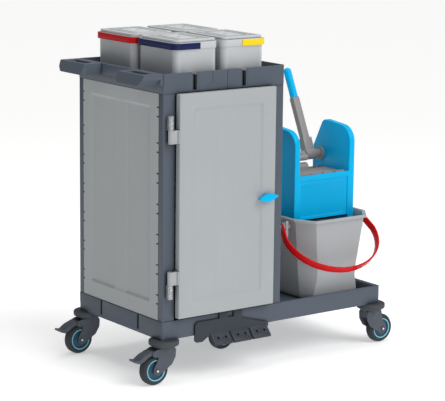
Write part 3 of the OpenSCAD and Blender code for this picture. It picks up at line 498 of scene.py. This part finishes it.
# The wall closes round the clips' mouths, clear of their arms.
clip_low, clip_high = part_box("pole_clips")
clip_xs = [(c - base_low.x) / MM + s * 15 for c, s in ((clip_low.x, 1), (clip_high.x, -1))]
cheek_z = (clip_low.z / MM - 1.5, tray_high.z / MM - 0.3)
cheek_xs = [x + side * 12.9 for x in clip_xs for side in (-1, 1)]
cheeks = [block((x - 3.9, x + 3.9), (0.9, 3.1), cheek_z) for x in cheek_xs]
eased("top_tray", 1.2, frame_grey, cuts=[blocks("witness_line", [seam])], adds=[blocks("cheeks", cheeks)])
# Darker than the tray, smooth and slightly waxy.
dark_grey = moulded("dark_grey_acetal_clip", "#3c4148", 0.4)
eased("pole_clips", 0.6, dark_grey)
# The handles' outer sides lean out to the bottom, and the loops' far ends turn up underneath.
handle_low, handle_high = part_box("push_handles")
reach, under, over = (handle_low.x - base_low.x) / MM, handle_low.z / MM, handle_high.z / MM
wedges = []
for near, far in ((0, 160), (base_width - 160, base_width)):
    lean = [(reach - 2, under + 3), (reach - 0.4, under + 3), (reach + 15, over + 1), (reach - 2, over + 1)]
    wedges.append([at(x, y, z) for y in (near, far) for x, z in lean])
chamfer = [(1.4, under - 2), (26, under - 2), (1.4, under + 21), (1.4, under + 20)]
for end in (chamfer, [(base_width - y, z) for y, z in chamfer]):
    wedges.append([at(x, y, z) for x in (reach - 4, -9) for y, z in end])
wedge_cuts = [blocks("wedge_%d" % k, [wedge]) for k, wedge in enumerate(wedges)]
eased("push_handles", 4.0, frame_grey, segments=3, cuts=wedge_cuts)

# --- Mop rest -------------------------------------------------------------------------------
# A nylon comb that clips over the base's front edge and holds mop frames by their slots.
# Near black, smoother than the frame, so that its teeth stand out from the base, with painted shade in its
# narrow gaps.
nylon_grey = moulded("grey_nylon_mop_rest", "#363b42", 0.42, scuff=0.4, gloss=0.2, painted_shade_mm=10)
eased("mop_rest", 1.0, nylon_grey)

# --- Latch ----------------------------------------------------------------------------------
# A wing of cyan polypropylene on a spindle through the door, glossy from a polished mould.
# A clean, strong cyan with a soft sheen and hardly any grain.
cyan = moulded("cyan_polypropylene", "#00aee4", 0.36, depth=0.05, shade=0.04, scuff=0.25,
                gloss=0.12)
eased("latch_lever", 1.6, cyan, segments=3)

# --- Casters --------------------------------------------------------------------------------
# Glass-filled nylon forks on zinc-plated stems, with soft grey rubber tyres on nylon hubs. A
# pale blue thread guard ring is snapped into each side of every wheel.
# Forks a shade darker than the frame with rubbed edges, teal hubs, and tyres with a dull, coarse grain.
caster_grey = moulded("glass_filled_nylon_caster", "#4b5059", 0.38, depth=0.08, scuff=0.6)
hub_nylon = moulded("blue_grey_nylon_hub", "#37566a", 0.36)
guard_blue = moulded("pale_blue_thread_guard", "#7cc3d8", 0.35)
tyre_rubber = moulded("dark_grey_rubber_tyre", "#35383c", 0.72, grain_mm=2.6, depth=0.25, shade=0.1)
bumper_rubber = moulded("grey_rubber_bumper", "#42464c", 0.62, grain_mm=2.2, depth=0.2, shade=0.08)
# The nuts are the one bright metal spot on each wheel.
plated_steel, tree = new_material("zinc_plated_steel")
place = add(tree, "ShaderNodeTexCoord").outputs["Object"]
brushed = add(tree, "ShaderNodeTexNoise", {"Vector": place}, Scale=260.0, Detail=2.0)
bump = add(tree, "ShaderNodeBump", {"Height": brushed.outputs["Fac"]}, Strength=0.1, Distance=0.3 * MM)
surface = add(tree, "ShaderNodeBsdfPrincipled", {"Normal": bump.outputs[0]}, Base_Color=linear("#e6e9ec"),
              Metallic=0.6, Roughness=0.3)
add(tree, "ShaderNodeOutputMaterial", {"Surface": surface.outputs[0]})


def turned(name, centre, profile, steps=56):
    """A ring turned about the Y axis through a centre, from its section as (radius, y) in
    millimetres."""
    points = []
    for k in range(steps):
        angle = 2 * math.pi * k / steps
        points += [centre + Vector((r * math.cos(angle), y, r * math.sin(angle))) * MM for r, y in profile]
    n = len(profile)
    faces = []
    for k in range(steps):
        for i in range(n):
            j = (i + 1) % n
            m = (k + 1) % steps
            faces.append((k * n + i, k * n + j, m * n + j, m * n + i))
    return solid(name, points, faces)


# Bolt heads are grown on points by Geometry Nodes: a hexagon on each, with a washer under it.
bolt_tree = bpy.data.node_groups.new("bolt_heads", "GeometryNodeTree")
bolt_tree.interface.new_socket("Points", in_out="INPUT", socket_type="NodeSocketGeometry")
bolt_inputs = (("Head Radius", "NodeSocketFloat", 4 * MM), ("Head Height", "NodeSocketFloat", 3 * MM),
               ("Turn", "NodeSocketVector", (0, 0, 0)), ("Finish", "NodeSocketMaterial", None))
for label, kind, value in bolt_inputs:
    bolt_socket = bolt_tree.interface.new_socket(label, in_out="INPUT", socket_type=kind)
    if value is not None:
        bolt_socket.default_value = value
bolt_tree.interface.new_socket("Bolts", in_out="OUTPUT", socket_type="NodeSocketGeometry")
given = add(bolt_tree, "NodeGroupInput")
head = add(bolt_tree, "GeometryNodeMeshCylinder",
           {"Radius": given.outputs["Head Radius"], "Depth": given.outputs["Head Height"]}, Vertices=6)
wide = add(bolt_tree, "ShaderNodeMath", {0: given.outputs["Head Radius"]}, operation="MULTIPLY")
wide.inputs[1].default_value = 1.45
thin = add(bolt_tree, "ShaderNodeMath", {0: given.outputs["Head Height"]}, operation="MULTIPLY")
thin.inputs[1].default_value = 0.4
washer = add(bolt_tree, "GeometryNodeMeshCylinder",
             {"Radius": wide.outputs[0], "Depth": thin.outputs[0]}, Vertices=20)
bolt = add(bolt_tree, "GeometryNodeJoinGeometry")
for part in (head, washer):
    bolt_tree.links.new(part.outputs["Mesh"], bolt.inputs[0])
dots = add(bolt_tree, "GeometryNodeMeshToPoints", {"Mesh": given.outputs["Points"]})
spread = add(bolt_tree, "GeometryNodeInstanceOnPoints",
             {"Points": dots.outputs[0], "Instance": bolt.outputs[0], "Rotation": given.outputs["Turn"]})
real = add(bolt_tree, "GeometryNodeRealizeInstances", {"Geometry": spread.outputs[0]})
finish = add(bolt_tree, "GeometryNodeSetMaterial",
             {"Geometry": real.outputs[0], "Material": given.outputs["Finish"]})
add(bolt_tree, "NodeGroupOutput", {"Bolts": finish.outputs[0]})


def grown(name, points, tree, sizes):
    """A plain mesh of what a Geometry Nodes tree grows on points, with its sizes set."""
    seed = bpy.data.meshes.new(name)
    seed.from_pydata([tuple(p) for p in points], [], [])
    holder = bpy.data.objects.new(name, seed)
    bpy.context.scene.collection.objects.link(holder)
    growth = holder.modifiers.new(tree.name, "NODES")
    growth.node_group = tree
    for item in tree.interface.items_tree:
        if item.in_out == "INPUT" and item.name in sizes:
            growth[item.identifier] = sizes[item.name]
    made = bpy.data.meshes.new_from_object(holder.evaluated_get(bpy.context.evaluated_depsgraph_get()))
    holder.modifiers.clear()
    holder.data = made
    return holder


for end in ("front_left", "rear_left", "front_right", "rear_right", "centre"):
    eased("fork_" + end, 1.4, caster_grey, segments=3)
    eased("hub_" + end, 0.8, hub_nylon)
    eased("tyre_" + end, 0.6, tyre_rubber)
    low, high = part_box("hub_" + end)
    middle = (low + high) / 2
    for side in (-1, 1):
        guard = [(31.2, 14.2), (31.8, 15.6), (33.6, 16.4), (35.2, 16.0), (35.8, 14.8), (35.4, 13.6)]
        ring = turned("thread_guard_%s_%d" % (end, side + 1), middle, [(r, side * y) for r, y in guard])
        placed(ring, "hub_" + end, guard_blue, 60)
    frame["nodes"]["axle_" + end].data.materials.clear()
    frame["nodes"]["axle_" + end].data.materials.append(caster_grey)
    low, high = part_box("axle_" + end)
    middle = (low + high) / 2
    ends = [(middle.x, low.y - 0.6 * MM, middle.z), (middle.x, high.y + 0.6 * MM, middle.z)]
    nuts = grown("axle_nuts_" + end, ends, bolt_tree, {
        "Head Radius": 2.4 * MM, "Head Height": 2.4 * MM,
        "Turn": (math.pi / 2, 0, 0), "Finish": plated_steel})
    placed(nuts, "axle_" + end, plated_steel, 30)
for end in ("front", "rear"):
    eased("brake_pedal_" + end, 1.6, caster_grey, segments=3)
eased("corner_bumpers", 1.6, bumper_rubber, segments=3)
for node in ("caster_stems", "frame_screws"):
    frame["nodes"][node].data.materials.clear()
    frame["nodes"][node].data.materials.append(plated_steel)

# --- Tubs, lids and their bails -------------------------------------------------------------
# Four polypropylene tubs with loose lids. The lids are stiffened by rings of grooves round a
# small finger hole, and each tub has a thin bail in its own colour, flexed round its collar.
# Tubs and lids are alike and pale; painted shade darkens the lids' grooves.
tub_grey = moulded("grey_polypropylene_tub", "#bdc0c3", 0.44, shade=0.04)
lid_grey = moulded("grey_polypropylene_lid", "#c2c5c6", 0.5, shade=0.05, painted_shade_mm=9)
bails = (("front_left", "navy", "#1c2350"), ("front_right", "yellow", "#fbd11f"),
         ("rear_left", "red", "#be0c10"), ("rear_right", "green", "#3a8d4a"))


def groove(low, high, inset, wide, deep):
    """A square-cornered ring that cuts a groove into a lid, inset from its edge."""
    ring = []
    for z in (high.z - deep, high.z + 2):
        for gap in (inset, inset + wide):
            ring += [at(x, y, z) for x, y in ((low.x + gap, low.y + gap), (high.x - gap, low.y + gap),
                                              (high.x - gap, high.y - gap), (low.x + gap, high.y - gap))]
    faces = []
    for k in range(4):
        n = (k + 1) % 4
        faces += [(k, n, 4 + n, 4 + k), (8 + k, 12 + k, 12 + n, 8 + n),
                  (k, 8 + k, 8 + n, n), (4 + k, 4 + n, 12 + n, 12 + k)]
    return solid("groove", ring, faces)


for tub, word, colour in bails:
    eased("tub_" + tub, 1.2, tub_grey)
    low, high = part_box("lid_" + tub)
    lo = (low - Vector((base_low.x, base_low.y, 0))) / MM
    hi = (high - Vector((base_low.x, base_low.y, 0))) / MM
    cutters = [groove(lo, hi, *sizes) for sizes in ((14.7, 7, 5.5), (27.3, 4, 4), (39.2, 7, 5.5))]
    mid_x, mid_y = (lo.x + hi.x) / 2, (lo.y + hi.y) / 2
    finger = block((mid_x - 8, mid_x + 8), (mid_y - 8, mid_y + 8), (hi.z - 6.5, hi.z + 2))
    cutters.append(blocks("finger_hole", [finger]))
    eased("lid_" + tub, 1.0, lid_grey, cuts=cutters)
    bail_plastic = moulded(word + "_polypropylene_bail", colour, 0.36, depth=0.04, gloss=0.12)
    eased("tub_bail_" + tub, 0.7, bail_plastic)
    low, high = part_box("tub_" + tub)
    for y, out in ((low.y, -1), (high.y, 1)):
        eye = Vector(((low.x + high.x) / 2, y, sum(b.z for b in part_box("tub_bail_" + tub)) / 2))
        disc = [(0, -out * 0.6), (5, -out * 0.6), (5, out * 0.3), (0, out * 0.5)]
        cap = turned("bail_cap_%s_%d" % (tub, out + 1), eye, disc)
        placed(cap, "tub_bail_" + tub, bail_plastic, 30)

# --- Bucket and its bail --------------------------------------------------------------------
# A tapered polypropylene bucket, eight-sided in plan, whose corner facets run out towards the
# foot. Its rim turns out in a lip that dips at the corners for pouring.
bucket_low, bucket_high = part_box("bucket")
bucket_mid = (bucket_low + bucket_high) / 2
rim_z = bucket_high.z / MM
foot_z = bucket_low.z / MM
bucket_y = (bucket_high.y - bucket_low.y) / MM
bucket_tall = rim_z - foot_z


def corner_arc(a, b, c, radius, steps):
    """Points of the arc that rounds corner b between a and c."""
    u, v = (a - b).normalized(), (c - b).normalized()
    half = u.angle(v) / 2
    centre = b + (u + v).normalized() * (radius / math.sin(half))
    start, end = b + u * (radius / math.tan(half)) - centre, b + v * (radius / math.tan(half)) - centre
    return [centre + start.slerp(end, k / steps) for k in range(steps + 1)]


def bucket_ring(level, inset, height, lip=0.0, dip=0.0):
    """The bucket's outline in plan at a level, as a fraction of its height."""
    half_x = 167 - 34 * (1 - level) - inset + lip
    half_y = bucket_y / 2 - 8 - 22 * (1 - level) - inset + lip
    facet = 0.5 + 0.5 * min(max((level - 0.04) / 0.24, 0), 1)
    cut_x, cut_y = (52 + 0.4 * lip) * facet, (72 + 0.4 * lip) * (0.86 + 0.14 * level)
    outline = [(-half_x + cut_x, -half_y), (half_x - cut_x, -half_y), (half_x, -half_y + cut_y),
               (half_x, half_y - cut_x), (half_x - cut_x, half_y), (-half_x + cut_x, half_y),
               (-half_x, half_y - cut_x), (-half_x, -half_y + cut_y)]
    outline = [Vector((x, y, 0)) for x, y in outline]
    ring = []
    for k in range(8):
        corner = corner_arc(outline[k - 1], outline[k], outline[(k + 1) % 8], 18, 4)
        ring += corner
    placed_ring = []
    for p in ring:
        pour = soft_step(-p.y - half_y + cut_y, cut_y) * soft_step(abs(p.x) - half_x + cut_x + 30, cut_x)
        point = Vector((p.x, p.y, height - dip * pour)) * MM
        placed_ring.append(Vector((bucket_mid.x, bucket_mid.y, 0)) + point)
    return placed_ring


levels = [(0.0, 7, 0), (0.0, 2.2, 1.8), (0.02, 0, 7)]
levels += [(k / 12, 0, bucket_tall * k / 12) for k in range(1, 11)]
rings = [bucket_ring(level, inset, foot_z + up) for level, inset, up in levels]
rings += [bucket_ring(0.95, 0, rim_z - 14, 0, 3), bucket_ring(0.965, 0, rim_z - 10.4, 0.5, 4),
          bucket_ring(1, 0, rim_z - 9.6, 7, 5), bucket_ring(1, 0, rim_z - 8.6, 8, 5),
          bucket_ring(1, 0, rim_z - 1.6, 8, 5), bucket_ring(1, 0, rim_z, 6.4, 5),
          bucket_ring(1, 0, rim_z, -1.6, 5), bucket_ring(1, 3, rim_z - 1.4, 0, 5)]
rings += [bucket_ring(k / 12, 3, foot_z + bucket_tall * k / 12) for k in range(11, 0, -1)]
rings += [bucket_ring(0.02, 3.4, foot_z + 9), bucket_ring(0.0, 8, foot_z + 3)]
count = len(rings[0])
bucket_faces = [tuple(range(count)), tuple((len(rings) - 1) * count + k for k in range(count))]
for j in range(len(rings) - 1):
    for k in range(count):
        n = (k + 1) % count
        bucket_faces.append((j * count + k, j * count + n, (j + 1) * count + n, (j + 1) * count + k))
bucket = solid("bucket_shell", [p for ring in rings for p in ring], bucket_faces)
# A shade darker and rougher than the tubs, as a pail that is used.
bucket_grey = moulded("grey_polypropylene_bucket", "#a4a7aa", 0.48, depth=0.12, shade=0.05, scuff=0.2)
placed(bucket, "bucket", bucket_grey, 42)
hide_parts("bucket")

# Pivot bosses stand out from the bucket's sides, with pins that the bail snaps over.
bail_y, bail_z = (132, 434.4)
for side in (-1, 1):
    reach = [(0, 153), (7, 153), (7, 184.8), (5.8, 185.8), (0, 185.8)]
    boss = [(7, 150), (13, 150), (13, 175), (11.6, 176.4), (7, 176.4)]
    for label, section in (("pin", reach), ("boss", boss)):
        points, n, steps = [], len(section), 32
        for k in range(steps):
            angle = 2 * math.pi * k / steps
            for r, x in section:
                points.append(at(764 + side * x, bail_y + r * math.cos(angle), bail_z + r * math.sin(angle)))
        faces = [(k * n + i, k * n + (i + 1) % n, (k + 1) % steps * n + (i + 1) % n, (k + 1) % steps * n + i)
                 for k in range(steps) for i in range(n)]
        pivot = solid("bail_%s_%d" % (label, side + 1), points, faces)
        placed(pivot, "bucket", bucket_grey, 35)
plates = [block((764 + s * 167 - 5, 764 + s * 167 + 5), (116, 122), (rim_z - 66, rim_z - 9)) for s in (-1, 1)]
placed(blocks("pivot_ribs", plates), "bucket", bucket_grey, 35)

# The bail is a flat band of red polypropylene with a rib along its middle and a row of holes.
# Saturated red, the smoothest plastic on the cart.
bail_red = moulded("red_polypropylene_bail_band", "#c40d12", 0.34, depth=0.04, shade=0.05,
                    gloss=0.14)
tilt = math.radians(42.5)


def on_bail(angle_deg, off, rise):
    """A place on the bail: round the hoop, out from its middle line, and up its band."""
    angle = math.radians(angle_deg)
    x, y = (195 + off) * math.cos(angle), -60 - (151 + off) * math.sin(angle)
    return at(764 + x, bail_y + y * math.cos(tilt) - rise * math.sin(tilt),
              bail_z + y * math.sin(tilt) + rise * math.cos(tilt))


def tube(start, end, radius, sides=14):
    """Points of a rod between two places, as two rings."""
    axis = (end - start).normalized()
    side = axis.orthogonal().normalized()
    other = axis.cross(side)
    turn = [2 * math.pi * k / sides for k in range(sides)]
    return [p + (side * math.cos(a) + other * math.sin(a)) * radius * MM for p in (start, end) for a in turn]


drills = []
for k, angle in enumerate((85.6, 76.6, 67.7, 58.5, 49, 39.3)):
    points = tube(on_bail(angle, -9, 0), on_bail(angle, 9, 0), 3.2)
    faces = [tuple(range(14)), tuple(range(14, 28))]
    faces += [(i, (i + 1) % 14, 14 + (i + 1) % 14, 14 + i) for i in range(14)]
    drills.append(solid("drill_%d" % k, points, faces))
eased("bucket_bail", 0.9, bail_red, cuts=drills, sharp_deg=50)
rib_section = [(2.4, -3.4), (3.9, -2.6), (4.7, -1.2), (4.7, 1.2), (3.9, 2.6), (2.4, 3.4)]
for part, (first, last) in enumerate(((179, 92), (30, 1))):
    steps = 40
    angles = [first + (last - first) * k / steps for k in range(steps + 1)]
    points = [on_bail(angle, off, rise) for angle in angles for off, rise in rib_section]
    n = len(rib_section)
    faces = [tuple(range(n)), tuple(steps * n + i for i in range(n))]
    faces += [(k * n + i, k * n + (i + 1) % n, (k + 1) * n + (i + 1) % n, (k + 1) * n + i)
              for k in range(steps) for i in range(n)]
    rib = solid("bail_rib_%d" % part, points, faces)
    placed(rib, "bucket_bail", bail_red, 50)

# --- Wringer --------------------------------------------------------------------------------
# The wringer is one cyan moulding: two flanged ears joined by a front wall with a sunk panel.
# Its grey nylon lever turns a shaft between the ears and drives the press plate down.
wringer_low, wringer_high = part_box("wringer_body")
mid_x = ((wringer_low.x + wringer_high.x) / 2 - base_low.x) / MM
front = (wringer_low.y - base_low.y) / MM
foot = wringer_low.z / MM
panel_cut = block((mid_x - 104, mid_x + 107), (front - 2, front + 7.4), (foot + 30, foot + 158),
                  (4, 18, 4, 14))
foot_cut = block((mid_x - 104, mid_x + 106), (front - 2, front + 45), (foot - 2, foot + 24))
wall_cuts = [blocks("sunk_panel", [panel_cut]), blocks("under_the_wall", [foot_cut])]
eased("wringer_body", 1.5, cyan, segments=3, cuts=wall_cuts, clamp=False)
# A warmer grey than the rest, with rubbed edges.
lever_grey = moulded("warm_grey_nylon_lever", "#8b8887", 0.42, scuff=0.3)
eased("wringer_lever", 1.6, lever_grey, segments=3)
eased("lever_grip", 0.8, cyan)
eased("press_plate", 1.2, lever_grey)
